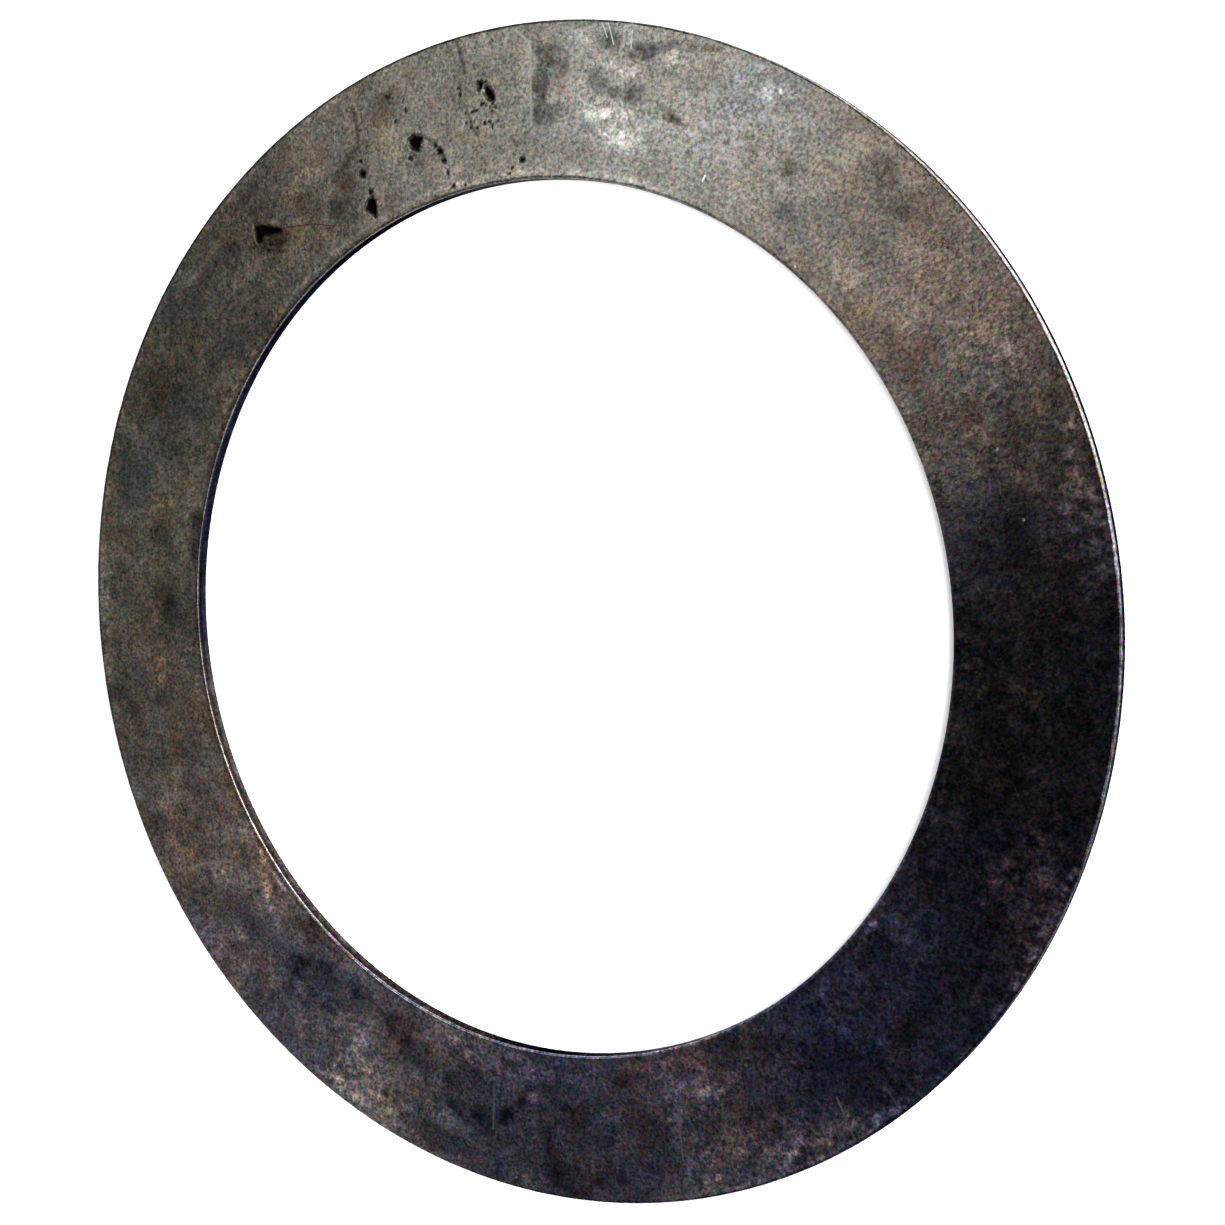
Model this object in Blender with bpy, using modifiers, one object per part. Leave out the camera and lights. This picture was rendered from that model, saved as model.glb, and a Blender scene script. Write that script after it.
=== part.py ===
"""A flat washer: one thin ring of plain steel, punched from sheet, lying flat with its axis along +Z.

Metres. The origin is the centre of the lower bearing face. The ring is one turned piece: a rectangular
section swept round the axis, with its four rims broken by a small radius.
"""

import math

import bpy

# Driving dimensions
OUTER_DIAMETER = 0.102
BORE_DIAMETER = 0.0760
THICKNESS = 0.0012
RIM_RADIUS = 0.00018

# Fineness of the turned surface
TURN_STEPS = 144
RIM_SEGMENTS = 2
MERGE_DISTANCE = 1e-6
RIM_ANGLE = math.radians(45)
SMOOTH_ANGLE = math.radians(20)

# Dark mill scale on hot-rolled steel
STEEL_COLOUR = (0.085, 0.078, 0.070, 1.0)
STEEL_ROUGHNESS = 0.55
STEEL_METALLIC = 0.9


def clear_scene():
    for obj in list(bpy.data.objects):
        bpy.data.objects.remove(obj, do_unlink=True)


def new_collection(name):
    collection = bpy.data.collections.new(name)
    bpy.context.scene.collection.children.link(collection)
    return collection


def scaled_steel():
    material = bpy.data.materials.new("dark_steel")
    material.use_nodes = True
    shader = material.node_tree.nodes["Principled BSDF"]
    shader.inputs["Base Color"].default_value = STEEL_COLOUR
    shader.inputs["Roughness"].default_value = STEEL_ROUGHNESS
    shader.inputs["Metallic"].default_value = STEEL_METALLIC
    material.diffuse_color = STEEL_COLOUR
    return material


def ring_section(name):
    """The ring's section in the XZ plane: a closed rectangle that runs down its outer side."""
    outer = OUTER_DIAMETER / 2
    inner = BORE_DIAMETER / 2
    corners = [(outer, 0, THICKNESS), (outer, 0, 0), (inner, 0, 0), (inner, 0, THICKNESS)]
    edges = [(i, (i + 1) % len(corners)) for i in range(len(corners))]
    mesh = bpy.data.meshes.new(name)
    mesh.from_pydata(corners, edges, [])
    return mesh


def turn(obj):
    screw = obj.modifiers.new("turn", "SCREW")
    screw.axis = "Z"
    screw.angle = math.tau
    screw.screw_offset = 0
    screw.steps = TURN_STEPS
    screw.render_steps = TURN_STEPS
    screw.use_merge_vertices = True
    screw.merge_threshold = MERGE_DISTANCE
    screw.use_smooth_shade = True


def break_rims(obj):
    bevel = obj.modifiers.new("rims", "BEVEL")
    bevel.width = RIM_RADIUS
    bevel.segments = RIM_SEGMENTS
    bevel.limit_method = "ANGLE"
    bevel.angle_limit = RIM_ANGLE


def apply_modifiers(obj):
    """Replaces the section with the turned ring, so that its shading can be set on real faces."""
    graph = bpy.context.evaluated_depsgraph_get()
    turned = bpy.data.meshes.new_from_object(obj.evaluated_get(graph), depsgraph=graph)
    section = obj.data
    obj.modifiers.clear()
    obj.data = turned
    bpy.data.meshes.remove(section)
    turned.name = obj.name


def flat_washer(collection):
    washer = bpy.data.objects.new("flat_washer", ring_section("flat_washer"))
    collection.objects.link(washer)
    turn(washer)
    break_rims(washer)
    apply_modifiers(washer)
    washer.data.materials.append(scaled_steel())
    washer.data.shade_smooth()
    washer.data.set_sharp_from_angle(angle=SMOOTH_ANGLE)
    return washer


def main():
    clear_scene()
    flat_washer(new_collection("flat_washer"))


main()
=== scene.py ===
import math

import bpy
import numpy as np
from mathutils import Matrix, Vector


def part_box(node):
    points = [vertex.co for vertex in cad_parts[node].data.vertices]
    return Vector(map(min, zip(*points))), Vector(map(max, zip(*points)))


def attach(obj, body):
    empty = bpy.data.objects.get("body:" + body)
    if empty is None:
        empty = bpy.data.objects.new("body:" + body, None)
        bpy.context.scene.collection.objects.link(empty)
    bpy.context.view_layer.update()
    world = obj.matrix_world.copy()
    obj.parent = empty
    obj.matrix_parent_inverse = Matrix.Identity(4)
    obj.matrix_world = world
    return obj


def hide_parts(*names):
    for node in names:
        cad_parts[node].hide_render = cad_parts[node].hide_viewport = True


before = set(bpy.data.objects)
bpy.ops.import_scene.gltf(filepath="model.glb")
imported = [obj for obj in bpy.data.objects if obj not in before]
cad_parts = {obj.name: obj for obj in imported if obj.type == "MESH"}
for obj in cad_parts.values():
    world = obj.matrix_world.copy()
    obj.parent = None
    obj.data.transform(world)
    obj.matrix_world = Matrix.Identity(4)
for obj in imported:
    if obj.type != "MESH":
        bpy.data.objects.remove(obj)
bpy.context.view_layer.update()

MM = 0.001

# The washer's own coordinates: angles in degrees counterclockwise from +X, radii in millimetres.
WASHER = "flat_washer"


def washer_sizes():
    """Bore radius, outer radius and thickness of the CAD washer, in millimetres."""
    low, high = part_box(WASHER)
    radii = [math.hypot(v.co.x, v.co.y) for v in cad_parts[WASHER].data.vertices]
    return min(radii) / MM, high.x / MM, (high.z - low.z) / MM


BORE, OUTER, THICK = washer_sizes()


# ---------------------------------------------------------------- noise and falloff

def hashed(ix, iy, iz, seed):
    """A repeatable random number from 0 to 1 for each lattice point."""
    n = (ix * 73856093) ^ (iy * 19349663) ^ (iz * 83492791) ^ (seed * 2654435761)
    n = n & 0xFFFFFFFF
    n = ((n ^ (n >> 15)) * 2246822519) & 0xFFFFFFFF
    n = ((n ^ (n >> 13)) * 3266489917) & 0xFFFFFFFF
    return ((n ^ (n >> 16)) & 0xFFFFFF) / float(0xFFFFFF)


def noise(points, cell, seed):
    """Smooth value noise, -1 to 1, with lumps about one cell across. Points and cell are in millimetres."""
    p = points / cell
    base = np.floor(p).astype(np.int64)
    f = p - base
    f = f * f * (3 - 2 * f)
    total = np.zeros(len(points))
    for dx in (0, 1):
        wx = f[:, 0] if dx else 1 - f[:, 0]
        for dy in (0, 1):
            wy = f[:, 1] if dy else 1 - f[:, 1]
            for dz in (0, 1):
                wz = f[:, 2] if dz else 1 - f[:, 2]
                corner = hashed(base[:, 0] + dx, base[:, 1] + dy, base[:, 2] + dz, seed)
                total += wx * wy * wz * corner
    return 2 * total - 1


def cloud(points, cell, seed, octaves=3):
    """Noise with finer and weaker noise added to it."""
    total = np.zeros(len(points))
    for k in range(octaves):
        total += noise(points, cell / 2 ** k, seed + 31 * k) / 2 ** k
    return total / 1.6


def smooth(x):
    """0 below 0, 1 above 1, and an even curve between them."""
    x = np.clip(x, 0, 1)
    return x * x * (3 - 2 * x)


def arc(angles, centre):
    """Signed difference of angles in degrees, -180 to 180."""
    return (angles - centre + 180) % 360 - 180


def window(angles, first, last, soft):
    """1 between two angles, falling to 0 over soft degrees outside them."""
    centre = (first + last) / 2
    half = (last - first) / 2
    return smooth(1 - (np.abs(arc(angles, centre)) - half) / soft)


def along_ring(angles, stops):
    """A value that runs evenly between stops round the ring."""
    return np.interp(angles % 360, [s[0] for s in stops], [s[1] for s in stops], period=360)


# ---------------------------------------------------------------- the ring's grid

# Columns stand closer where the pits are, and along the part of the bore rim that catches the light.
COLUMN_STEPS = ((86.0, 134.0, 0.16), (134.0, 190.0, 0.8), (190.0, 250.0, 0.45), (250.0, 446.0, 0.8))
# Radii of the rounded rims: the punched face's outer rim, its bore rim, and the two rims underneath.
RIM_OUTER = 0.11
RIM_INNER = 0.17
RIM_UNDER = 0.05
RIM_ROWS = 5
UNDER_RIM_ROWS = 3
WALL_ROWS = 7
# Widths of the rows on the upper and the lower face.
TOP_ROW = 0.165
UNDER_ROW = 0.75


# The parts of the cross-section, in order.
WALL_OUT, RIM_OUT, TOP, RIM_BORE, WALL_BORE, RIM_BORE_UNDER, UNDER, RIM_OUT_UNDER = range(8)


def column_angles():
    """Angles in degrees of the grid's columns."""
    angles = []
    for first, last, step in COLUMN_STEPS:
        count = int(round((last - first) / step))
        angles.extend(np.linspace(first, last, count, endpoint=False))
    return np.array(angles) % 360


def corner(radius, height, size, start, rows):
    """Points of a rounded corner about a centre: (radius, height, outward radial, outward vertical)."""
    points = []
    for k in range(1, rows):
        turn = start + (math.pi / 2) * k / rows
        out_r = math.cos(turn)
        out_z = math.sin(turn)
        points.append((radius + size * out_r, height + size * out_z, out_r, out_z))
    return points


def section():
    """The ring's cross-section, counterclockwise from the foot of the outer wall.

    Each row holds radius, height, outward radial, outward vertical and part.
    """
    rows = []

    def add(points, part):
        rows.extend([p + (part,) for p in points])

    top_radii = np.linspace(OUTER - RIM_OUTER, BORE + RIM_INNER, 1 + round((OUTER - BORE) / TOP_ROW))
    under_radii = np.linspace(BORE + RIM_UNDER, OUTER - RIM_UNDER, 1 + round((OUTER - BORE) / UNDER_ROW))
    outer_heights = np.linspace(RIM_UNDER, THICK - RIM_OUTER, WALL_ROWS + 1)
    bore_heights = np.linspace(THICK - RIM_INNER, RIM_UNDER, WALL_ROWS + 1)
    quarter = math.pi / 2
    add([(OUTER, z, 1.0, 0.0) for z in outer_heights], WALL_OUT)
    add(corner(OUTER - RIM_OUTER, THICK - RIM_OUTER, RIM_OUTER, 0, RIM_ROWS), RIM_OUT)
    add([(r, THICK, 0.0, 1.0) for r in top_radii], TOP)
    add(corner(BORE + RIM_INNER, THICK - RIM_INNER, RIM_INNER, quarter, RIM_ROWS), RIM_BORE)
    add([(BORE, z, -1.0, 0.0) for z in bore_heights], WALL_BORE)
    add(corner(BORE + RIM_UNDER, RIM_UNDER, RIM_UNDER, 2 * quarter, UNDER_RIM_ROWS), RIM_BORE_UNDER)
    add([(r, 0.0, 0.0, -1.0) for r in under_radii], UNDER)
    add(corner(OUTER - RIM_UNDER, RIM_UNDER, RIM_UNDER, 3 * quarter, UNDER_RIM_ROWS), RIM_OUT_UNDER)
    return np.array(rows)


# ---------------------------------------------------------------- marks on the top face

# A mark's tilt turns its length from the tangent towards the rim, counterclockwise-going end outwards.
# Holes with a drawn outline: angles and radii of its points, depth, and how wide the sloping side is.
HOLES = (
    # The wedge-shaped tear.
    (((130.35, 46.60), (130.95, 45.90), (131.30, 45.50), (131.30, 45.10), (130.90, 44.95), (130.40, 45.20),
      (129.90, 45.05), (129.40, 44.75), (128.60, 44.40), (127.85, 44.05), (127.45, 44.20), (128.20, 44.90),
      (129.00, 45.60), (129.80, 46.30)), 0.16, 0.22),
    # The hook.
    (((106.85, 44.00), (105.85, 44.18), (105.25, 43.95), (104.95, 43.72), (105.00, 43.48), (105.25, 43.42),
      (105.50, 43.12), (105.85, 42.80), (106.60, 43.10), (106.95, 43.55)), 0.20, 0.20),
    # The teardrop.
    (((113.95, 41.15), (113.85, 40.30), (114.20, 39.70), (114.70, 39.15), (115.25, 39.80), (115.85, 40.35),
      (115.00, 40.90), (114.25, 41.05)), 0.18, 0.20),
    # The ragged pit and the long one beside it.
    (((96.95, 46.73), (96.25, 46.85), (95.90, 46.75), (96.05, 46.45), (96.45, 46.07), (96.80, 46.17),
      (96.70, 46.47)), 0.14, 0.12),
    (((96.10, 46.25), (95.60, 46.30), (95.05, 45.88), (94.77, 45.40), (94.85, 45.00), (95.13, 44.88),
      (95.67, 45.25), (96.03, 45.65)), 0.20, 0.18),
)
# Round and oval pits: angle, radius, half length, half width, tilt, depth.
PITS = (
    (113.8, 44.38, 0.18, 0.13, 10, 0.06),
    (114.2, 43.30, 0.36, 0.34, 60, 0.16),
    (114.1, 41.45, 0.24, 0.19, -60, 0.10),
    (107.95, 48.35, 0.29, 0.12, 28, 0.09),
    (107.2, 42.40, 0.24, 0.13, 30, 0.09),
    (103.4, 42.60, 0.21, 0.14, 40, 0.10),
    (102.95, 42.03, 0.31, 0.25, 40, 0.16),
    (102.65, 41.14, 0.23, 0.19, 0, 0.12),
    (102.45, 40.00, 0.17, 0.14, 0, 0.10),
    (101.9, 38.72, 0.17, 0.12, -20, 0.07),
    (100.15, 38.48, 0.16, 0.12, 20, 0.06),
    (99.1, 46.15, 0.15, 0.13, 0, 0.08),
    (99.1, 46.70, 0.17, 0.10, 0, 0.04),
    (95.7, 46.65, 0.12, 0.10, 0, 0.06),
    (96.5, 44.90, 0.13, 0.11, 60, 0.06),
    (97.65, 44.45, 0.21, 0.09, 15, 0.06),
    (94.65, 44.45, 0.16, 0.11, 70, 0.06),
    (95.2, 44.10, 0.13, 0.10, 0, 0.05),
    (98.2, 43.20, 0.14, 0.11, 0, 0.06),
    (98.15, 43.67, 0.12, 0.09, 0, 0.05),
    (95.7, 43.30, 0.38, 0.08, -22, 0.04),
    (91.4, 39.70, 0.34, 0.17, -20, 0.12),
    (92.9, 39.10, 0.16, 0.09, -40, 0.05),
    (93.4, 38.65, 0.17, 0.09, -10, 0.05),
    (62.4, 43.70, 0.16, 0.11, 80, 0.05),
)
# Pinholes that lie scattered over small patches: angles, radii, how many, half width, depth.
PINHOLES = (
    ((94.4, 97.6), (42.6, 45.0), 18, 0.075, 0.04),
    ((105.8, 108.8), (45.6, 49.0), 7, 0.075, 0.03),
    ((98.3, 99.0), (42.7, 45.4), 4, 0.075, 0.04),
    ((127.6, 131.4), (42.6, 44.2), 6, 0.085, 0.03),
    ((112.0, 116.0), (44.6, 49.0), 6, 0.070, 0.02),
)
# Faint cracks: angles and radii of the points along each, half width, depth, darkening.
CRACKS = (
    (((105.2, 43.85), (104.3, 43.45), (103.6, 42.8), (103.0, 42.1), (102.5, 41.2)), 0.10, 0.020, 0.55),
    (((112.7, 48.9), (112.8, 47.7), (113.15, 46.4), (113.7, 45.4)), 0.14, 0.018, 0.42),
    (((98.7, 50.8), (98.5, 49.9), (98.3, 49.1), (98.15, 48.0)), 0.17, 0.020, 0.45),
    (((98.9, 45.4), (98.4, 44.4), (98.1, 43.0), (97.3, 42.2)), 0.10, 0.015, 0.30),
    (((132.4, 43.95), (131.3, 44.40)), 0.13, 0.02, 0.55),
    (((131.0, 43.85), (129.8, 43.10), (128.7, 42.35)), 0.13, 0.02, 0.50),
    (((129.4, 43.75), (128.7, 43.35), (128.0, 43.15)), 0.24, 0.02, 0.50),
    (((62.4, 43.8), (61.7, 44.6), (61.3, 45.3)), 0.12, 0.015, 0.30),
    (((36.5, 47.5), (35.8, 45.9), (35.4, 44.6)), 0.16, 0.015, 0.30),
)
# The seam is a low step with a bright lip along its clockwise side.
SEAM = ((91.8, 50.5), (91.0, 49.9), (90.3, 49.4), (90.08, 48.5), (90.15, 45.0), (90.0, 42.0), (90.1, 39.6))
SEAM_STEP = 0.020
SEAM_LIP = 0.014

# Soft patches of lighter or darker skin: angle, radius, half length, half width, tilt, strength, hue.
PATCHES = (
    # top, from 120 down to 60 degrees
    (118.8, 41.3, 1.9, 1.7, 20, -0.62, "plain"),
    (115.6, 45.0, 1.6, 0.6, -20, -0.75, "brown"),
    (116.5, 43.2, 0.9, 0.9, 0, -0.45, "red"),
    # A painted shadow below the hook.
    (106.0, 42.4, 0.7, 0.9, 0, -0.75, "plain"),
    (108.6, 47.8, 1.2, 1.6, 60, -0.45, "brown"),
    (109.5, 44.5, 1.3, 1.8, 0, 0.25, "warm"),
    (101.5, 39.4, 2.0, 0.9, 30, 0.25, "pink"),
    # A painted highlight between the ragged pit and the long one.
    (96.2, 46.1, 0.30, 0.28, 0, 0.60, "blue"),
    (95.2, 49.8, 2.4, 0.9, 0, 0.25, "plain"),
    (90.8, 47.4, 0.5, 2.0, 5, 0.15, "plain"),
    (92.2, 38.7, 1.8, 0.4, 0, 0.10, "plain"),
    (87.9, 48.2, 1.4, 0.8, 20, -0.60, "plain"),
    (88.9, 45.3, 0.75, 1.8, 8, -0.85, "plain"),
    (88.6, 43.2, 1.1, 0.7, 10, -0.65, "plain"),
    (86.1, 47.1, 0.35, 1.1, 20, -0.55, "plain"),
    (87.6, 45.0, 0.65, 0.8, 0, 0.06, "red"),
    (87.6, 43.8, 1.3, 0.6, 0, -0.50, "plain"),
    (84.4, 45.6, 0.9, 1.0, 0, 0.25, "red"),
    (81.0, 49.4, 1.0, 0.8, 50, -0.85, "plain"),
    (77.6, 48.6, 1.2, 0.6, -10, -0.85, "plain"),
    (75.4, 49.4, 1.4, 0.35, -20, -0.60, "blue"),
    (71.0, 50.1, 1.5, 0.35, -8, -0.50, "brown"),
    (82.3, 46.2, 0.7, 0.9, 30, -0.60, "plain"),
    (79.9, 45.2, 1.0, 0.5, 0, -0.60, "plain"),
    (77.4, 45.2, 0.9, 0.8, 10, -0.85, "plain"),
    (72.7, 44.4, 1.1, 0.6, 15, -0.85, "brown"),
    (72.0, 44.1, 0.9, 0.35, 15, -0.80, "brown"),
    (79.6, 47.3, 1.9, 0.5, 8, 0.35, "plain"),
    (82.2, 43.6, 1.3, 0.8, 0, 0.34, "plain"),
    (78.4, 42.3, 2.4, 1.6, 10, 0.48, "plain"),
    (74.3, 43.6, 0.6, 0.5, 0, 0.45, "plain"),
    (73.8, 48.8, 0.8, 0.8, 0, 0.30, "plain"),
    (84.6, 49.8, 1.4, 0.8, 0, 0.20, "plain"),
    (64.0, 46.5, 5.0, 3.2, -20, 0.15, "blue"),
    (62.8, 48.7, 0.7, 0.7, 60, 0.35, "plain"),
    (65.0, 47.4, 0.9, 0.4, -30, -0.30, "plain"),
    (73.6, 39.4, 1.0, 0.5, 0, -0.25, "brown"),
    (84.0, 40.3, 3.0, 0.8, 0, -0.15, "plain"),
    (79.0, 38.7, 3.5, 0.4, 0, 0.12, "plain"),
    (95.0, 38.7, 3.5, 0.35, 0, 0.08, "plain"),
    (114.0, 39.2, 3.5, 0.5, 0, -0.20, "blue"),
    (86.4, 45.7, 1.3, 1.0, 0, -0.25, "red"),
    (87.4, 47.2, 0.9, 0.6, 0, -0.45, "plain"),
    (100.3, 43.4, 0.9, 1.2, 0, -0.18, "plain"),
    (112.0, 43.4, 1.4, 0.8, 0, 0.18, "plain"),
    (65.6, 46.8, 1.2, 0.7, -20, 0.18, "blue"),
    # upper right
    (57.6, 44.4, 0.75, 0.6, 20, -0.95, "brown"),
    (55.1, 41.8, 1.4, 0.9, -30, -0.40, "blue"),
    (49.4, 48.8, 1.3, 0.9, 10, -0.45, "plain"),
    (46.0, 47.6, 1.5, 1.1, -30, -0.45, "plain"),
    (44.6, 40.4, 1.5, 0.9, 20, 0.24, "plain"),
    (37.6, 42.4, 2.0, 0.9, 0, 0.20, "plain"),
    (30.0, 46.2, 2.4, 2.2, 0, 0.20, "plain"),
    (34.0, 40.6, 1.6, 1.2, 0, -0.25, "brown"),
    (54.6, 41.0, 1.2, 0.8, 0, -0.25, "plain"),
    (51.0, 40.3, 1.2, 0.7, 0, -0.20, "plain"),
    (48.5, 45.0, 0.6, 0.5, 0, 0.22, "warm"),
    (37.0, 44.6, 1.0, 0.7, 0, -0.15, "plain"),
    (33.3, 42.5, 1.6, 0.9, 0, -0.35, "red"),
    (30.0, 40.8, 2.0, 1.2, 0, -0.22, "plain"),
    (27.6, 47.4, 1.0, 1.0, 0, 0.40, "plain"),
    (26.0, 45.5, 1.0, 0.8, 0, 0.35, "plain"),
    (25.3, 42.8, 0.9, 1.5, 0, -0.60, "brown"),
    (21.9, 45.0, 1.6, 1.1, 0, -0.55, "plain"),
    (19.6, 48.6, 0.9, 0.8, 0, -0.40, "plain"),
    (18.7, 46.5, 0.9, 1.0, 0, 0.40, "plain"),
    (15.0, 44.3, 2.0, 0.8, 0, -0.35, "plain"),
    (13.0, 49.2, 5.5, 1.6, 0, 0.70, "plain"),
    (11.8, 43.8, 1.0, 0.7, 0, -0.35, "plain"),
    (4.0, 38.8, 4.0, 0.4, 0, 0.40, "plain"),
    (3.0, 40.2, 5.0, 1.4, 0, 0.22, "plain"),
    # left, from 120 up to 180 degrees
    (129.2, 44.0, 2.0, 0.85, 25, -0.85, "brown"),
    (127.4, 43.5, 1.5, 0.35, 28, 0.15, "red"),
    (125.0, 43.6, 1.5, 0.22, 35, 0.35, "plain"),
    (127.2, 41.8, 1.2, 0.6, 0, 0.25, "warm"),
    (125.2, 39.6, 1.5, 0.6, 0, -0.15, "blue"),
    (131.0, 40.3, 3.0, 0.9, 0, -0.20, "plain"),
    (122.6, 43.9, 1.7, 1.5, 20, -0.45, "plain"),
    (121.5, 46.3, 3.0, 0.7, 0, 0.38, "warm"),
    (123.0, 47.3, 1.2, 0.6, 0, -0.20, "blue"),
    (128.2, 49.2, 2.2, 0.5, 0, -0.45, "blue"),
    (127.4, 46.8, 0.9, 0.9, 0, -0.45, "blue"),
    (129.6, 47.6, 1.0, 0.8, 0, -0.30, "blue"),
    (138.4, 47.7, 3.6, 0.8, 5, -0.45, "blue"),
    (134.6, 46.7, 0.8, 0.5, 0, -0.35, "blue"),
    (136.5, 43.9, 1.9, 1.8, 0, 0.22, "plain"),
    (142.6, 46.8, 1.5, 1.0, 0, -0.25, "blue"),
    (145.6, 48.9, 1.3, 0.9, 0, -0.30, "blue"),
    (144.6, 42.0, 3.2, 1.0, 0, -0.32, "blue"),
    (143.4, 39.1, 1.0, 0.7, 0, 0.28, "plain"),
    (149.8, 38.9, 1.4, 0.3, 0, 0.20, "plain"),
    (148.0, 45.6, 1.8, 1.7, 0, 0.05, "ochre"),
    (153.6, 46.8, 1.9, 1.5, 0, -0.15, "brown"),
    (155.2, 45.4, 1.3, 2.6, -12, -0.20, "blue"),
    (154.2, 42.0, 0.35, 2.6, -4, -0.38, "blue"),
    (157.0, 43.6, 0.9, 0.8, 0, 0.28, "plain"),
    (157.3, 39.3, 2.0, 0.6, 0, 0.42, "plain"),
    (162.6, 41.0, 1.0, 0.7, -20, -0.38, "brown"),
    (164.9, 46.0, 1.9, 1.2, 0, -0.28, "blue"),
    (167.0, 48.2, 1.7, 1.2, 0, -0.30, "blue"),
    (164.5, 50.0, 3.2, 0.7, 0, 0.28, "warm"),
    (166.4, 43.2, 1.6, 1.5, 0, 0.18, "warm"),
    (168.1, 38.9, 1.2, 0.4, 0, -0.60, "blue"),
    (171.2, 39.9, 2.8, 0.6, 0, 0.42, "warm"),
    (172.2, 38.7, 0.8, 0.42, 0, -0.95, "blue"),
    (172.8, 48.2, 1.3, 2.0, 0, -0.42, "brown"),
    (171.8, 42.6, 1.8, 1.2, 0, -0.25, "brown"),
    (178.6, 42.0, 1.7, 1.0, 0, -0.42, "blue"),
    (178.5, 49.9, 2.4, 0.7, 0, 0.20, "plain"),
    (179.0, 38.9, 1.6, 0.7, 0, -0.30, "blue"),
    (171.0, 40.4, 5.0, 1.3, 0, 0.16, "plain"),
    # left, from 180 up to 215 degrees
    (181.6, 41.3, 1.5, 1.1, 0, -0.42, "blue"),
    (181.2, 43.9, 0.9, 0.35, -25, 0.35, "red"),
    (182.8, 50.1, 2.6, 0.7, 0, 0.30, "plain"),
    (188.9, 43.3, 2.6, 0.5, 13, 0.30, "warm"),
    (188.4, 46.3, 1.7, 1.0, 0, -0.30, "blue"),
    (190.6, 49.4, 1.0, 1.2, 0, -0.42, "blue"),
    (193.6, 47.8, 1.8, 1.1, 0, -0.45, "plain"),
    (193.4, 42.2, 1.2, 1.6, 0, -0.25, "plain"),
    (193.6, 49.6, 0.5, 0.5, 0, 0.30, "warm"),
    (200.4, 44.6, 2.5, 0.8, 25, 0.05, "ochre"),
    (198.0, 42.8, 1.4, 0.9, 20, 0.22, "brown"),
    (197.0, 39.3, 3.2, 0.7, 0, 0.24, "warm"),
    (203.7, 42.6, 1.6, 1.4, 0, -0.55, "blue"),
    (204.2, 47.2, 0.6, 1.2, 0, 0.15, "plain"),
    (207.2, 49.0, 1.3, 0.9, 0, -0.25, "blue"),
    (208.2, 41.1, 1.9, 0.6, -15, -0.42, "red"),
    (208.6, 46.8, 2.6, 1.8, 0, 0.20, "brown"),
    (208.4, 39.3, 3.4, 0.7, 0, 0.24, "warm"),
    (212.6, 44.4, 0.3, 2.6, -8, -0.25, "plain"),
    # lower left
    (213.6, 46.8, 0.40, 0.9, 10, 0.42, "warm"),
    (215.8, 43.6, 0.9, 1.7, -20, 0.30, "warm"),
    (215.4, 45.7, 1.1, 0.35, 10, -0.60, "blue"),
    (216.6, 47.2, 0.5, 0.7, -20, -0.35, "blue"),
    (216.6, 39.7, 3.2, 0.9, 0, 0.42, "warm"),
    (214.8, 41.6, 1.2, 0.8, 0, 0.12, "ochre"),
    (221.6, 44.6, 2.2, 1.0, 0, -0.42, "blue"),
    (220.4, 47.4, 0.6, 1.6, -20, -0.25, "blue"),
    (223.4, 46.3, 0.4, 0.4, 0, 0.35, "warm"),
    (222.7, 40.8, 1.4, 0.45, 35, 0.65, "warm"),
    (225.2, 40.5, 0.8, 0.4, -20, 0.50, "warm"),
    (223.2, 39.8, 0.8, 0.16, 25, -0.50, "brown"),
    (221.8, 38.8, 1.9, 0.28, 0, 0.75, "warm"),
    (226.8, 42.9, 2.0, 0.8, 0, -0.40, "blue"),
    (227.6, 40.7, 1.5, 1.3, 0, -0.60, "plain"),
    (230.0, 39.7, 1.6, 0.8, 0, -0.55, "red"),
    (228.9, 45.0, 0.45, 1.2, -15, 0.60, "warm"),
    (230.4, 47.2, 0.5, 0.5, 0, 0.25, "warm"),
    (235.8, 42.6, 2.4, 2.1, -20, -0.90, "blue"),
    (232.0, 43.2, 1.3, 0.9, 30, -0.90, "blue"),
    (232.6, 45.6, 0.8, 0.7, 0, -0.50, "blue"),
    (237.2, 45.2, 1.6, 1.2, 0, -0.35, "blue"),
    (236.2, 46.9, 1.4, 0.8, 0, 0.20, "plain"),
    (233.8, 48.6, 1.0, 0.8, 0, 0.25, "pink"),
    (238.4, 40.5, 1.4, 0.8, 0, -0.42, "blue"),
    (242.0, 41.4, 1.1, 1.7, 10, -0.55, "blue"),
    (246.6, 47.9, 4.2, 2.6, 12, 0.62, "warm"),
    (242.6, 49.6, 1.6, 1.1, 0, 0.30, "plain"),
    (243.4, 43.8, 1.9, 1.4, -40, 0.38, "pink"),
    (249.2, 41.0, 1.9, 1.6, 0, -0.85, "red"),
    (251.4, 42.2, 1.3, 1.2, 0, -0.35, "blue"),
    (253.8, 44.0, 1.8, 0.6, 20, -0.35, "blue"),
    (253.2, 44.3, 0.35, 0.45, 0, 0.80, "pink"),
    (254.6, 46.7, 2.2, 0.9, 0, 0.35, "warm"),
    (257.6, 43.3, 1.0, 1.0, 0, -0.75, "blue"),
    (259.0, 48.8, 3.2, 1.4, 0, -0.60, "blue"),
    (261.2, 42.2, 0.9, 0.9, 0, -0.48, "blue"),
    (238.8, 43.2, 1.4, 1.0, 0, -0.35, "blue"),
    (233.0, 38.9, 2.0, 0.40, 0, -0.55, "brown"),
    (228.6, 38.6, 2.2, 0.30, 0, -0.70, "brown"),
    (232.8, 41.4, 1.3, 1.0, 0, -0.35, "plain"),
    (223.6, 43.8, 0.8, 0.6, 0, -0.40, "blue"),
    (232.6, 48.0, 1.6, 1.2, 0, 0.32, "plain"),
    (225.8, 48.8, 0.7, 0.7, 0, 0.40, "plain"),
    (215.3, 49.8, 0.7, 0.7, 0, 0.50, "plain"),
    (241.0, 49.4, 2.0, 1.0, 0, 0.35, "plain"),
    (254.4, 43.2, 1.0, 0.8, 0, -0.45, "plain"),
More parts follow.
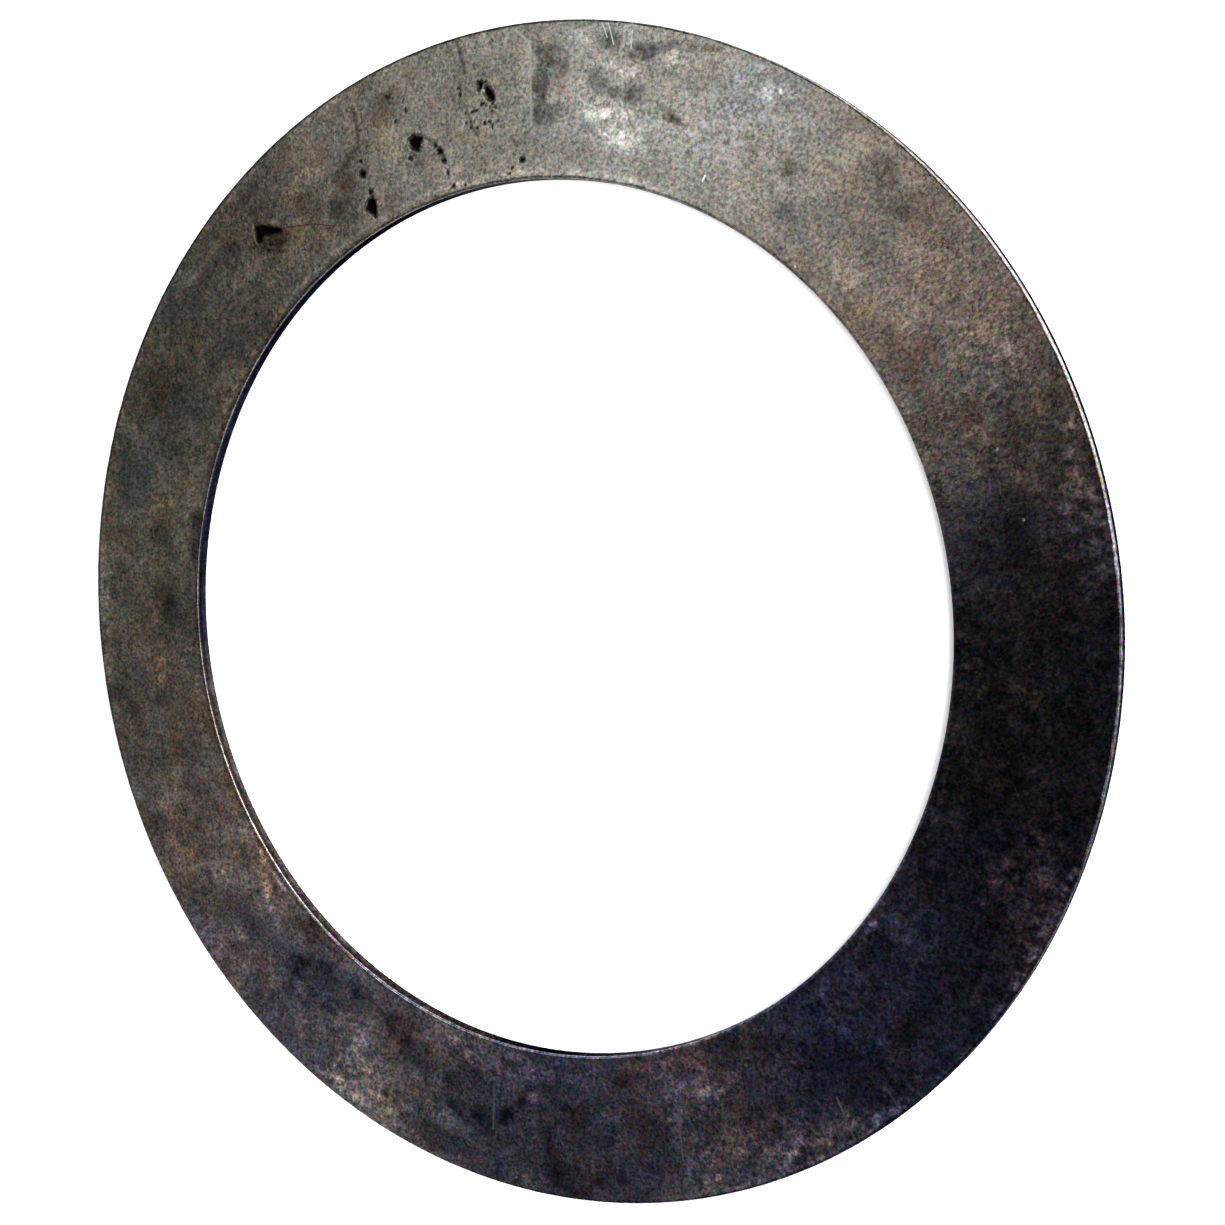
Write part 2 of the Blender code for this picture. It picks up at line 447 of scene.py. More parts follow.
    (256.0, 40.0, 1.6, 0.5, 0, -0.35, "plain"),
    (258.0, 45.1, 1.5, 0.6, 0, -0.55, "blue"),
    (240.2, 40.4, 0.8, 1.6, 0, -0.45, "blue"),
    (243.0, 50.1, 1.2, 0.5, 0, 0.40, "plain"),
    (241.6, 43.4, 1.3, 0.5, 0, 0.45, "plain"),
    (255.0, 47.2, 2.6, 0.8, 0, 0.22, "plain"),
    (231.0, 40.2, 3.0, 1.5, 0, -0.15, "plain"),
    (223.0, 49.2, 6.0, 1.2, 0, 0.18, "blue"),
    # bottom
    (261.0, 45.8, 2.0, 0.9, 12, -0.75, "blue"),
    (262.8, 44.9, 1.1, 1.0, 0, -0.60, "blue"),
    (266.6, 44.4, 2.2, 0.75, -50, -1.20, "blue"),
    (264.6, 43.8, 0.22, 1.5, 0, 0.42, "blue"),
    (262.6, 39.9, 6.4, 1.2, 0, 0.36, "pink"),
    (269.6, 42.3, 0.7, 0.6, 0, 0.80, "pink"),
    (270.1, 45.4, 0.5, 1.5, 0, 0.34, "pink"),
    (268.8, 48.1, 0.6, 0.5, 0, -0.45, "plain"),
    (269.2, 49.9, 1.3, 0.7, 0, 0.25, "warm"),
    (274.6, 49.4, 2.4, 1.3, 0, -0.65, "blue"),
    (271.5, 46.0, 0.45, 2.8, -13, -0.75, "blue"),
    (273.6, 46.6, 0.30, 1.9, -8, 0.45, "blue"),
    (276.8, 49.6, 1.0, 0.25, 40, 0.40, "blue"),
    (275.8, 43.4, 1.6, 1.2, 0, -0.65, "red"),
    (273.6, 42.0, 1.5, 1.0, 0, -0.35, "blue"),
    (275.0, 39.3, 1.2, 0.35, 0, -0.45, "brown"),
    (280.4, 43.4, 0.9, 0.8, 25, 0.55, "plain"),
    (281.8, 46.1, 1.7, 0.6, 0, 0.15, "red"),
    (282.4, 40.1, 1.1, 0.7, 0, -0.52, "plain"),
    (283.6, 43.4, 1.3, 1.4, 0, -0.35, "red"),
    (283.2, 48.9, 2.0, 1.5, 0, -0.65, "blue"),
    (279.2, 48.8, 1.7, 0.9, 0, -0.70, "blue"),
    (289.0, 39.5, 4.2, 1.0, 0, 0.32, "red"),
    (288.6, 48.6, 0.4, 1.9, 5, 0.35, "plain"),
    (290.9, 50.0, 1.2, 0.9, 0, 0.70, "warm"),
    (291.4, 47.6, 1.0, 0.9, 0, 0.40, "pink"),
    (290.9, 45.6, 0.25, 1.0, 20, 0.30, "blue"),
    (295.6, 42.2, 1.8, 0.8, 0, 0.65, "pink"),
    (296.6, 47.4, 1.9, 1.2, 0, 0.50, "brown"),
    (298.8, 49.4, 1.8, 1.2, 0, 0.25, "plain"),
    (297.6, 39.6, 2.0, 1.0, 0, -0.75, "blue"),
    (299.8, 43.4, 1.0, 1.0, 0, -0.35, "blue"),
    (268.0, 50.0, 2.6, 0.6, 0, 0.35, "plain"),
    (267.4, 48.2, 1.2, 0.6, 0, 0.25, "plain"),
    (264.0, 41.4, 1.4, 0.7, 0, 0.45, "pink"),
    (272.6, 48.2, 0.8, 1.0, 0, -0.45, "blue"),
    (279.6, 42.0, 1.0, 0.7, 0, -0.45, "plain"),
    (281.4, 40.8, 1.1, 0.6, -30, -0.45, "plain"),
    (285.2, 45.8, 1.2, 1.2, 0, -0.30, "red"),
    (291.0, 42.8, 4.0, 1.6, 0, 0.15, "plain"),
    (264.6, 45.6, 0.9, 0.6, 0, -0.55, "blue"),
    (262.4, 46.3, 0.4, 0.5, 0, 0.55, "plain"),
    (270.4, 39.9, 0.6, 0.7, 0, 0.45, "pink"),
    (258.4, 40.3, 0.8, 0.6, 0, 0.30, "plain"),
    (286.0, 47.6, 0.9, 0.8, 0, -0.35, "blue"),
    (288.5, 45.4, 0.6, 2.0, 0, 0.30, "plain"),
    (289.0, 41.3, 4.0, 0.8, 0, 0.20, "pink"),
    (270.0, 45.0, 7.0, 2.4, 0, -0.20, "blue"),
    # lower right and right
    (301.0, 49.8, 1.8, 1.0, 0, 0.30, "plain"),
    (301.8, 47.6, 1.8, 1.4, 0, 0.45, "blue"),
    (304.2, 49.2, 0.8, 0.7, 0, 0.60, "warm"),
    (307.4, 48.7, 0.22, 1.7, -10, 1.10, "warm"),
    (311.2, 50.2, 3.0, 0.45, 0, 0.95, "plain"),
    (312.6, 49.2, 0.8, 0.7, 0, 0.75, "warm"),
    (305.0, 49.4, 6.0, 1.3, 0, 0.28, "warm"),
    (310.4, 47.6, 2.1, 1.2, 0, -0.45, "blue"),
    (309.0, 45.2, 1.6, 1.2, 0, -0.45, "blue"),
    (308.5, 44.4, 6.0, 1.8, 0, -0.05, "deep blue"),
    (306.5, 43.3, 0.9, 0.5, 0, 0.60, "pink"),
    (305.4, 41.5, 1.4, 1.2, 0, 0.30, "plain"),
    (314.4, 42.0, 1.3, 1.2, 0, 0.50, "plain"),
    (314.0, 39.7, 1.1, 1.2, 0, 0.35, "blue"),
    (314.6, 45.5, 1.5, 0.9, 0, 0.25, "blue"),
    (318.4, 40.4, 0.8, 1.8, 0, 0.60, "blue"),
    (317.8, 44.6, 0.35, 0.8, 0, 0.45, "pink"),
    (318.2, 46.4, 0.9, 0.9, 0, -0.50, "plain"),
    (321.4, 46.6, 2.0, 1.6, 0, -0.50, "plain"),
    (322.4, 42.3, 1.3, 0.9, 0, -0.35, "blue"),
    (324.2, 38.9, 1.0, 0.4, 0, 1.00, "pink"),
    (326.0, 41.4, 0.5, 1.8, -20, 0.30, "pink"),
    (330.2, 43.8, 1.6, 1.1, 0, -0.30, "blue"),
    (332.0, 47.4, 2.4, 1.2, 0, 0.25, "plain"),
    (334.6, 50.3, 6.5, 0.45, 0, 0.70, "plain"),
    (335.9, 49.6, 1.0, 0.7, 0, 0.40, "blue"),
    (337.5, 49.2, 4.0, 1.4, 0, 0.30, "red"),
    (336.4, 47.4, 0.8, 1.2, 0, 0.50, "warm"),
    (338.3, 45.2, 1.1, 1.3, 0, 0.60, "red"),
    (341.5, 47.4, 3.5, 2.5, 0, 0.22, "red"),
    (342.8, 46.5, 0.9, 0.8, 0, 0.60, "plain"),
    (343.0, 41.6, 1.6, 1.3, 0, -0.45, "plain"),
    (347.4, 45.3, 0.8, 0.6, 0, 0.50, "blue"),
    (350.8, 48.0, 2.0, 1.6, 0, -0.55, "plain"),
    (351.0, 40.9, 1.4, 0.8, 0, -0.60, "plain"),
    (354.4, 46.6, 1.0, 0.8, 0, -0.40, "plain"),
    (356.0, 41.8, 1.0, 1.0, 0, -0.35, "plain"),
    (356.6, 43.6, 0.8, 1.3, 0, 0.40, "brown"),
    (357.8, 40.0, 1.6, 0.8, 0, 0.40, "red"),
    (343.0, 38.9, 5.0, 0.35, 0, 0.45, "plain"),
)
HUES = {
    "plain": (1.00, 1.00, 1.00),
    "warm": (1.06, 1.00, 0.88),
    "ochre": (1.10, 1.00, 0.78),
    "brown": (1.07, 0.99, 0.90),
    "red": (1.12, 0.97, 0.93),
    "pink": (1.08, 0.97, 1.01),
    "blue": (0.95, 0.99, 1.10),
    "deep blue": (0.90, 0.98, 1.20),
}
# The skin's colour round the ring, the scale's own tone with painted shade round 0 degrees and painted
# light towards the top, round 30 to 80 degrees: angle, then red, green and blue of the metal's reflection.
SKIN_TONE_AND_PAINTED_LIGHT = (
    (0, 0.027, 0.027, 0.031),
    (12, 0.050, 0.042, 0.046),
    (22, 0.110, 0.091, 0.080),
    (34, 0.152, 0.121, 0.099),
    (46, 0.124, 0.106, 0.089),
    (60, 0.140, 0.127, 0.107),
    (78, 0.168, 0.164, 0.145),
    (92, 0.117, 0.115, 0.099),
    (110, 0.115, 0.104, 0.086),
    (124, 0.087, 0.077, 0.062),
    (150, 0.079, 0.073, 0.058),
    (175, 0.099, 0.092, 0.075),
    (196, 0.117, 0.099, 0.081),
    (214, 0.155, 0.124, 0.108),
    (232, 0.104, 0.093, 0.106),
    (248, 0.123, 0.110, 0.115),
    (262, 0.075, 0.071, 0.084),
    (280, 0.053, 0.053, 0.075),
    (294, 0.132, 0.117, 0.138),
    (312, 0.058, 0.063, 0.106),
    (330, 0.055, 0.052, 0.076),
    (346, 0.034, 0.032, 0.038),
)
# How strongly the skin is mottled, and how strongly it is tinted: angle, factor.
MOTTLING = ((0, 1.3), (30, 0.8), (62, 0.45), (120, 0.5), (136, 0.8), (180, 1.0), (240, 1.1), (310, 1.3))
TINTING = ((0, 0.75), (30, 0.40), (60, 0.25), (110, 0.28), (130, 0.45), (180, 0.50), (210, 0.55),
           (245, 0.70), (275, 0.80), (335, 0.80))
# Small bright and dark lines and specks: two ends as angle and radius, half width, and red, green and blue
# of the metal there.
PALE = (0.50, 0.49, 0.46)
LINES = (
    ((66.30, 40.80), (66.35, 40.30), 0.07, (0.62, 0.61, 0.58)),
    ((62.15, 49.25), (62.05, 49.15), 0.16, PALE),
    ((50.75, 38.55), (50.70, 38.53), 0.10, PALE),
    ((13.40, 44.60), (13.35, 44.58), 0.11, (0.45, 0.42, 0.42)),
    ((20.80, 44.10), (20.75, 44.08), 0.10, (0.45, 0.42, 0.42)),
    ((299.95, 41.30), (299.90, 41.32), 0.14, (0.30, 0.34, 0.20)),
    ((82.20, 50.70), (81.50, 49.60), 0.06, (0.33, 0.33, 0.31)),
    ((81.60, 50.80), (80.70, 49.10), 0.06, (0.33, 0.33, 0.31)),
    ((78.90, 50.30), (78.70, 48.90), 0.05, (0.33, 0.33, 0.31)),
    ((79.80, 50.20), (79.50, 49.10), 0.05, (0.24, 0.24, 0.23)),
    ((213.4, 47.3), (213.9, 45.6), 0.14, (0.26, 0.22, 0.19)),
    ((213.9, 45.6), (215.2, 43.1), 0.12, (0.24, 0.20, 0.17)),
    ((264.4, 46.2), (264.0, 42.4), 0.09, (0.12, 0.12, 0.14)),
    ((288.1, 47.5), (289.4, 42.9), 0.09, (0.18, 0.17, 0.19)),
    ((307.0, 50.7), (307.8, 47.0), 0.10, (0.30, 0.27, 0.26)),
    ((305.4, 50.7), (305.9, 48.4), 0.08, (0.24, 0.24, 0.26)),
    ((312.6, 50.7), (312.9, 48.5), 0.10, (0.17, 0.16, 0.18)),
    ((331.6, 49.8), (329.5, 45.2), 0.12, (0.085, 0.075, 0.095)),
    ((323.8, 49.8), (325.6, 47.0), 0.11, (0.080, 0.072, 0.085)),
    ((316.9, 44.9), (316.5, 40.6), 0.10, (0.110, 0.100, 0.140)),
    ((91.80, 50.50), (91.00, 49.90), 0.10, (0.20, 0.20, 0.18)),
    ((91.00, 49.90), (90.30, 49.35), 0.10, (0.20, 0.20, 0.18)),
    ((90.30, 49.35), (90.08, 48.50), 0.11, (0.22, 0.22, 0.20)),
    ((90.08, 48.50), (90.15, 45.50), 0.10, (0.17, 0.17, 0.15)),
    ((90.15, 45.50), (90.10, 42.50), 0.09, (0.17, 0.17, 0.15)),
    ((127.4, 44.20), (123.7, 42.50), 0.05, (0.020, 0.016, 0.010)),
    ((123.7, 42.50), (120.6, 40.70), 0.05, (0.030, 0.026, 0.020)),
)


def local(angles, radii, angle, radius, tilt):
    """Millimetres along and across a mark's length from its centre."""
    along = np.radians(arc(angles, angle)) * (radius + radii) / 2
    out = radii - radius
    turn = math.radians(tilt)
    # Counterclockwise is +along. Seen from above at the top of the ring it runs to the left.
    u = along * math.cos(turn) + out * math.sin(turn)
    v = -along * math.sin(turn) + out * math.cos(turn)
    return u, v


def near(angles, radii, angle, radius, reach):
    """Index of the grid points within reach of a place, so that a small mark costs little."""
    away = np.abs(arc(angles, angle)) * math.pi / 180 * radius
    return np.nonzero((away < reach) & (np.abs(radii - radius) < reach))[0]


def path_distance(angles, radii, path):
    """Distance in millimetres to a line through points given as angle and radius, and how far across it."""
    best = np.full(len(angles), 1e9)
    side = np.zeros(len(angles))
    for (a0, r0), (a1, r1) in zip(path[:-1], path[1:]):
        scale = math.radians(1) * (r0 + r1) / 2
        px = arc(angles, a0) * scale
        py = radii - r0
        dx = (a1 - a0) * scale
        dy = r1 - r0
        t = np.clip((px * dx + py * dy) / (dx * dx + dy * dy), 0, 1)
        gap = np.hypot(px - t * dx, py - t * dy)
        nearer = gap < best
        best[nearer] = gap[nearer]
        side[nearer] = ((px * dy - py * dx) / math.hypot(dx, dy))[nearer]
    return best, side


def outline_depth(angles, radii, outline):
    """Millimetres inside an outline given as angles and radii. Outside it the number is negative."""
    best, _ = path_distance(angles, radii, outline + outline[:1])
    a0, r0 = outline[0]
    scale = math.radians(1) * r0
    px = arc(angles, a0) * scale
    py = radii - r0
    inside = np.zeros(len(angles), dtype=bool)
    for (a1, r1), (a2, r2) in zip(outline, outline[1:] + outline[:1]):
        x1, y1 = (a1 - a0) * scale, r1 - r0
        x2, y2 = (a2 - a0) * scale, r2 - r0
        crosses = (y1 > py) != (y2 > py)
        if y1 != y2:
            inside ^= crosses & (px < (x2 - x1) * (py - y1) / (y2 - y1) + x1)
    return np.where(inside, best, -best)


def pinhole_list():
    """The scattered pinholes, as rows like those of PITS."""
    rng = np.random.default_rng(11)
    found = []
    for (a0, a1), (r0, r1), count, half, depth in PINHOLES:
        for _ in range(count):
            size = half * rng.uniform(0.7, 1.5)
            found.append((rng.uniform(a0, a1), rng.uniform(r0, r1), size * rng.uniform(1, 1.5), size,
                          rng.uniform(0, 180), depth * rng.uniform(0.7, 1.4)))
    return found


def top_marks(angles, radii, points):
    """Height in millimetres and darkening, 0 to 1, that the marks give to points of the top face."""
    height = np.zeros(len(angles))
    darkening = np.zeros(len(angles))
    lip = np.zeros(len(angles))
    ragged = 0.30 * noise(points, 0.45, 5) + 0.18 * noise(points, 0.2, 6)
    for outline, depth, slope in HOLES:
        middle_a = sum(a for a, _ in outline) / len(outline)
        middle_r = sum(r for _, r in outline) / len(outline)
        index = near(angles, radii, middle_a, middle_r, 3.5)
        inside = outline_depth(angles[index], radii[index], outline) + 0.16 * ragged[index]
        height[index] = np.minimum(height[index], -depth * smooth(0.25 + inside / slope))
        darkening[index] = np.maximum(darkening[index], smooth(0.55 + inside / 0.14))
        lip[index] = np.maximum(lip[index], 0.1 * np.exp(-((inside + 0.22) / 0.10) ** 2))
    for angle, radius, half_long, half_wide, tilt, depth in PITS + tuple(pinhole_list()):
        reach = 2.2 * max(half_long, half_wide) + 0.2
        index = near(angles, radii, angle, radius, reach)
        u, v = local(angles[index], radii[index], angle, radius, tilt)
        q = np.hypot(u / half_long, v / half_wide)
        q = q * (1 + ragged[index] * 0.8)
        hole = smooth((1.06 - q) / 0.55)
        height[index] = np.minimum(height[index], -depth * hole)
        darkening[index] = np.maximum(darkening[index], smooth((1.22 - q) / 0.40))
        edge = np.exp(-((q - 1.45) / 0.22) ** 2)
        lip[index] = np.maximum(lip[index], edge * min(depth, 0.1))
    height += 0.10 * lip * (darkening < 0.2)
    for path, half, depth, dark in CRACKS:
        gap, _ = path_distance(angles, radii, path)
        gap = gap * (1 + 0.7 * ragged)
        line = np.exp(-(gap / half) ** 2) * (0.80 + 0.4 * noise(points, 0.5, 8))
        height -= depth * line
        darkening = np.maximum(darkening, dark * line)
    gap, side = path_distance(angles, radii, SEAM)
    near_seam = smooth(1 - (gap - 0.1) / 2.6)
    fade = smooth((radii - 39.2) / 3.0) * 0.75 + 0.25
    step = smooth(0.5 + side / 0.30)
    height -= SEAM_STEP * step * near_seam * fade * (side > -0.3)
    height += SEAM_LIP * np.exp(-((side + 0.05) / 0.16) ** 2) * (gap < 0.6) * fade
    return height, darkening


def blend_hue(name, amount):
    """A hue's red, green and blue factors, at the given strength."""
    hue = np.array(HUES[name])
    return 1 + np.outer(amount, hue - 1)


def skin(angles, points):
    """Colour of the metal's reflection round the ring, red, green and blue, before the patches and rim
    bands: the scale's own tone with painted shade round 0 degrees and painted light towards the top, from
    the table of colours round the ring.
    """
    stops = sorted(SKIN_TONE_AND_PAINTED_LIGHT)
    where = np.array([s[0] for s in stops] + [stops[0][0] + 360.0])
    spread = angles + 4.0 * cloud(points, 7.0, 40) + 1.2 * noise(points, 1.6, 41)
    colour = np.empty((len(angles), 3))
    for k in range(3):
        values = np.array([s[k + 1] for s in stops] + [stops[0][k + 1]])
        colour[:, k] = np.interp(spread % 360, where, values)
    lumps = 0.45 * cloud(points, 6.0, 50, 2) + 0.75 * cloud(points, 2.4, 51, 2)
    colour *= np.exp(lumps * along_ring(angles, MOTTLING))[:, None]
    warm = (0.16 * noise(points, 5.0, 54) + 0.18 * noise(points, 1.9, 55)) * along_ring(angles, TINTING)
    return colour * np.exp(np.outer(warm, (1.0, 0.0, -1.0)))


def stain_and_painted_light(angles, radii, points):
    """How the patches and the rim bands multiply the ring's base red, green and blue. One patch is a
    painted shadow and one a painted highlight, and the bands are painted shade in grooves and along the
    rounded rims and painted highlight on the shoulders beside them.
    """
    factor = np.ones((len(angles), 3))
    ragged = 0.45 * noise(points, 1.3, 42) + 0.35 * noise(points, 0.7, 43)
    for angle, radius, half_long, half_wide, tilt, strength, hue in PATCHES:
        reach = 2.6 * max(half_long, half_wide) + 0.5
        index = near(angles, radii, angle, radius, reach)
        u, v = local(angles[index], radii[index], angle, radius, tilt)
        q = np.hypot(u / half_long, v / half_wide) + 0.8 * ragged[index]
        weight = smooth((1.50 - q) / 1.0)
        factor[index] *= np.exp(strength * weight)[:, None] * blend_hue(hue, weight)
    # The rim bands: painted shade in the bore's groove and along the rounded rims, painted highlight on the
    # shoulders beside them.
    for bands, depths in ((BORE_SHADE_AND_HIGHLIGHT_BANDS, radii - BORE), (OUTER_SHADE_AND_HIGHLIGHT_BANDS, OUTER - radii)):
        for first, last, soft, inset, half, strength in bands:
            across = np.exp(-((depths - inset) / half) ** 2)
            factor *= np.exp(strength * across * window(angles, first, last, soft))[:, None]
    return factor


# The sheared walls: dark blue scale, and the browner metal of the worn stretch.
WALL_SKIN = ((0.014, 0.015, 0.026), (0.050, 0.042, 0.040))
# How bright the rims are beside the face next to them, partly rubbed metal and partly painted highlight
# where the lights glint and painted shade where the rims face away: angle, factor.
OUTER_RIM_WEAR_AND_PAINTED_LIGHT = ((0, 0.12), (32, 0.20), (45, 1.6), (60, 2.4), (75, 1.0), (110, 0.6), (140, 0.4),
                   (190, 0.4), (215, 0.8), (280, 0.7), (325, 0.5), (345, 0.15))
BORE_RIM_WEAR_AND_PAINTED_LIGHT = ((100, 1.3), (145, 2.8), (165, 0.55), (185, 0.5), (200, 1.0), (215, 1.9), (235, 2.1),
                  (247, 3.6), (256, 1.5), (266, 2.6), (285, 3.0), (310, 1.3))
# The same for the half of the outer rim that meets the wall.
OUTER_EDGE_WEAR_AND_PAINTED_LIGHT = ((0, 2.0), (10, 3.4), (20, 3.2), (32, 2.4), (45, 3.0), (60, 3.0), (75, 1.0), (110, 0.6),
                    (140, 0.4), (190, 0.4), (215, 0.8), (280, 0.7), (325, 0.6), (345, 1.2))
# The smooth sheared land along the top of the outer wall has a painted highlight on one side of the ring:
# angle, brightness of the painted highlight.
OUTER_LAND_PAINTED_GLINT = ((325, 0.0), (345, 0.14), (0, 0.16), (10, 0.30), (20, 0.70), (32, 0.90), (45, 0.45),
              (60, 0.40), (80, 0.0))
LAND_GLINT_HUE = (1.00, 0.98, 0.92)
# Bands along the bore rim and the outer rim: dark lines of painted shade in the bore's groove and along the
# rounded rims, and paler stretches of painted highlight on the shoulders beside them: first and last angle,
# soft end, distance from the rim, half width, strength.
BORE_SHADE_AND_HIGHLIGHT_BANDS = (
    (125, 240, 14, 0.32, 0.11, -0.45),
    (103, 152, 8, 0.80, 0.22, 0.32),
    (74, 100, 6, 0.55, 0.25, 0.20),
    (216, 232, 4, 0.74, 0.20, 0.45),
)
OUTER_SHADE_AND_HIGHLIGHT_BANDS = (
    (140, 195, 10, 0.14, 0.14, -1.10),
    (92, 135, 10, 0.10, 0.12, -0.55),
    (290, 338, 8, 0.10, 0.12, -0.30),
    (118, 190, 12, 0.50, 0.22, 0.25),
    (292, 335, 12, 0.35, 0.22, 0.55),
)
# The underside's plain brown-grey.
UNDER_SKIN = (0.105, 0.094, 0.080)


def wall_skin(angles, points, outer):
    """Colour of the sheared walls, with a painted highlight along the top of the outer wall on one side of
    the ring. Outer is 1 on the outer wall and 0 on the wall of the bore.
    """
    worn = window(angles, 196, 258, 14)
    colour = np.outer(1 - worn, WALL_SKIN[0]) + np.outer(worn, WALL_SKIN[1])
    # Along part of the ring the torn lower half is paler, and the sheared band above it is dark.
    lower = smooth((0.60 - points[:, 2] / THICK) / 0.2)
    colour *= (1 + window(angles, 180, 235, 12) * (1.1 * lower - 0.45))[:, None]
    colour *= np.exp(0.55 * cloud(points * (1, 1, 0.4), 0.9, 90))[:, None]
    # A painted highlight along the top of the outer wall, on one side of the ring.
    land_glint = along_ring(angles, OUTER_LAND_PAINTED_GLINT) * smooth((points[:, 2] / THICK - 0.52) / 0.12) * outer
    land_glint *= np.exp(0.5 * noise(points * (1, 1, 0), 0.8, 92))
    return colour + np.outer(land_glint, LAND_GLINT_HUE)


# ---------------------------------------------------------------- the ring

# Millimetres over which the relief of the top face fades out at its rims.
FLAT_MARGIN = 0.3
# The furthest that any point stands proud of the clean ring, in millimetres.
MOST_PROUD = 0.004


def relief(part, angles, radii, points):
    """How far each point of the surface stands out along its normal, in millimetres, and how far it is
    darkened.
    """
    out = np.zeros(len(angles))
    darkening = np.zeros(len(angles))
    face = np.nonzero(part == TOP)[0]
    marks, dark = top_marks(angles[face], radii[face], points[face])
    inside = smooth((radii[face] - BORE - RIM_INNER) / FLAT_MARGIN)
    inside *= smooth((OUTER - RIM_OUTER - radii[face]) / FLAT_MARGIN)
    out[face] = marks * np.clip(inside + (marks < -0.05), 0, 1)
    darkening[face] = dark
    out[face] += inside * (0.010 * noise(points[face], 9.0, 60) + 0.0045 * noise(points[face], 2.4, 61)
                           + 0.0028 * noise(points[face], 1.0, 62))
    # The sheared rim rolled down a little along part of the bore, with a shoulder inside it.
    roll = window(angles[face], 218.5, 230.5, 3.0)
    out[face] -= 0.030 * roll * np.exp(-((radii[face] - BORE - 0.36) / 0.14) ** 2)
    out[face] += 0.010 * roll * np.exp(-((radii[face] - BORE - 0.74) / 0.16) ** 2)

    below = np.nonzero(part == UNDER)[0]
    out[below] = 0.008 * noise(points[below], 8.0, 70) + 0.004 * noise(points[below], 2.0, 71)

    walls = np.nonzero((part == WALL_OUT) | (part == WALL_BORE))[0]
    # Sheared walls: upright scoring above, torn metal below.
    height = points[walls, 2] / THICK
    upright = points[walls] * (1, 1, 0.15)
    torn = smooth((0.62 - height + 0.12 * noise(points[walls] * (1, 1, 0), 1.5, 72)) / 0.1)
    scored = 0.005 * noise(upright, 0.9, 73) + 0.004 * noise(upright, 0.35, 74)
    rough = 0.014 * noise(points[walls], 0.7, 75) - 0.010
    out[walls] = scored * (1 - torn) + rough * torn
    darkening[walls] = 0.25 * torn

    rims = np.nonzero((part == RIM_OUT) | (part == RIM_BORE))[0]
    level = points[rims] * (1, 1, 0)
    dents = noise(level, 0.8, 76)
    out[rims] = -0.012 + 0.012 * noise(level, 0.45, 77) - 0.03 * smooth((dents - 0.55) / 0.3)
    return out, darkening


def make_ring():
    """The washer's skin: a closed grid of quads with its relief, and its colours, painted light and shade
    included, as attributes.
    """
    angles = column_angles()
    rows = section()
    columns = len(angles)
    count = len(rows)
    turn = np.repeat(angles, count)
    radii = np.tile(rows[:, 0], columns)
    heights = np.tile(rows[:, 1], columns)
    out_r = np.tile(rows[:, 2], columns)
    out_z = np.tile(rows[:, 3], columns)
    part = np.tile(rows[:, 4].astype(int), columns)
    cos = np.cos(np.radians(turn))
    sin = np.sin(np.radians(turn))
    points = np.stack([radii * cos, radii * sin, heights], axis=1)
    push, darkening = relief(part, turn, radii, points)
    push = np.minimum(push, MOST_PROUD)
    normals = np.stack([out_r * cos, out_r * sin, out_z], axis=1)
    moved = points + normals * push[:, None]

    colour = skin(turn, points)
    stains_and_painted_light = np.ones((len(points), 3))
    faces = np.isin(part, (TOP, RIM_OUT, RIM_BORE))
    stains_and_painted_light[faces] = stain_and_painted_light(turn[faces], radii[faces], points[faces])
    walls = np.isin(part, (WALL_OUT, WALL_BORE))
    colour[walls] = wall_skin(turn[walls], points[walls], (part[walls] == WALL_OUT) * 1.0)
    # Handling has rubbed the rims bright where they stand proud. Their colour also holds painted highlights
    # where the lights glint on them and painted shade where they face away.
    edge = smooth((out_r - 0.45) / 0.4)
    rim_wear_and_painted_light = along_ring(turn, OUTER_RIM_WEAR_AND_PAINTED_LIGHT) * (1 - edge) + along_ring(turn, OUTER_EDGE_WEAR_AND_PAINTED_LIGHT) * edge
    rubbed_and_painted_light = np.where(part == RIM_OUT, rim_wear_and_painted_light, 1.0)
    rubbed_and_painted_light = np.where(part == RIM_BORE, along_ring(turn, BORE_RIM_WEAR_AND_PAINTED_LIGHT), rubbed_and_painted_light)
    colour *= rubbed_and_painted_light[:, None]
    below = np.isin(part, (UNDER, RIM_BORE_UNDER, RIM_OUT_UNDER))
    colour[below] = UNDER_SKIN * np.exp(0.35 * cloud(points[below], 6.0, 91, 4))[:, None]

    mesh = bpy.data.meshes.new("washer_ring")
    columns_index = np.arange(columns)
    rows_index = np.arange(count)
    this_column = (columns_index * count)[:, None]
    next_column = (((columns_index + 1) % columns) * count)[:, None]
    this_row = rows_index[None, :]
    next_row = ((rows_index + 1) % count)[None, :]
    quads = np.stack([this_column + this_row, next_column + this_row,
                      next_column + next_row, this_column + next_row], axis=-1).reshape(-1, 4)
    mesh.from_pydata((moved * MM).tolist(), [], quads.tolist())
    mesh.validate()
    mesh.attributes.new("skin", "FLOAT_VECTOR", "POINT").data.foreach_set("vector", colour.ravel())
    mesh.attributes.new("tinting", "FLOAT", "POINT").data.foreach_set("value", along_ring(turn, TINTING))
    mesh.attributes.new("darkening", "FLOAT", "POINT").data.foreach_set("value", darkening)
    mesh.attributes.new("stain_and_painted_light", "FLOAT_VECTOR", "POINT").data.foreach_set("vector", stains_and_painted_light.ravel())
    mesh.polygons.foreach_set("use_smooth", np.ones(len(mesh.polygons), dtype=bool))
    mesh.update()
    ring = bpy.data.objects.new("washer_ring", mesh)
    bpy.context.scene.collection.objects.link(ring)
    return ring


# ---------------------------------------------------------------- material

